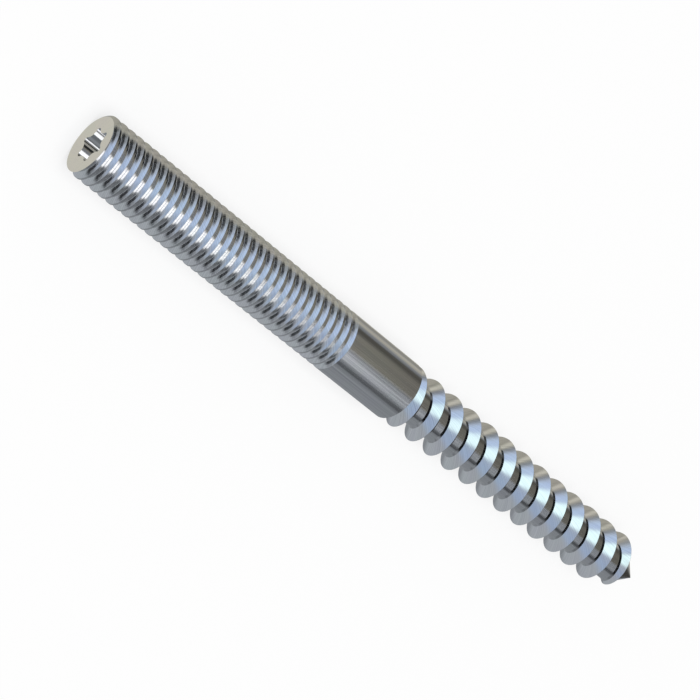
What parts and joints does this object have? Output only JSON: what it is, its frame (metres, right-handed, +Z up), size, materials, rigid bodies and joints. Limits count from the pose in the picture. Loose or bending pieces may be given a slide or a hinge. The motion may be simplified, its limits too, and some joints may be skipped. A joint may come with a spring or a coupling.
{
  "type": "hanger bolt",
  "caption": "Double-ended stud: a metric machine thread with a six-lobe socket in its end, a plain shank, and a pointed coarse wood thread.",
  "frame": {"origin": "centre of the drive face, on the bolt's axis; the bolt lies on its side, 4 mm above the surface it rests on", "axes": "+X along the bolt, from the drive face to the wood thread's point; +Z up"},
  "size_m": [0.1, 0.008, 0.008],
  "materials": {
    "plated_steel": "steel, bright zinc plated, with fine turning and rolling marks"
  },
  "bodies": {
    "root": {"hanger_bolt": "plated_steel"}
  },
  "joints": []
}
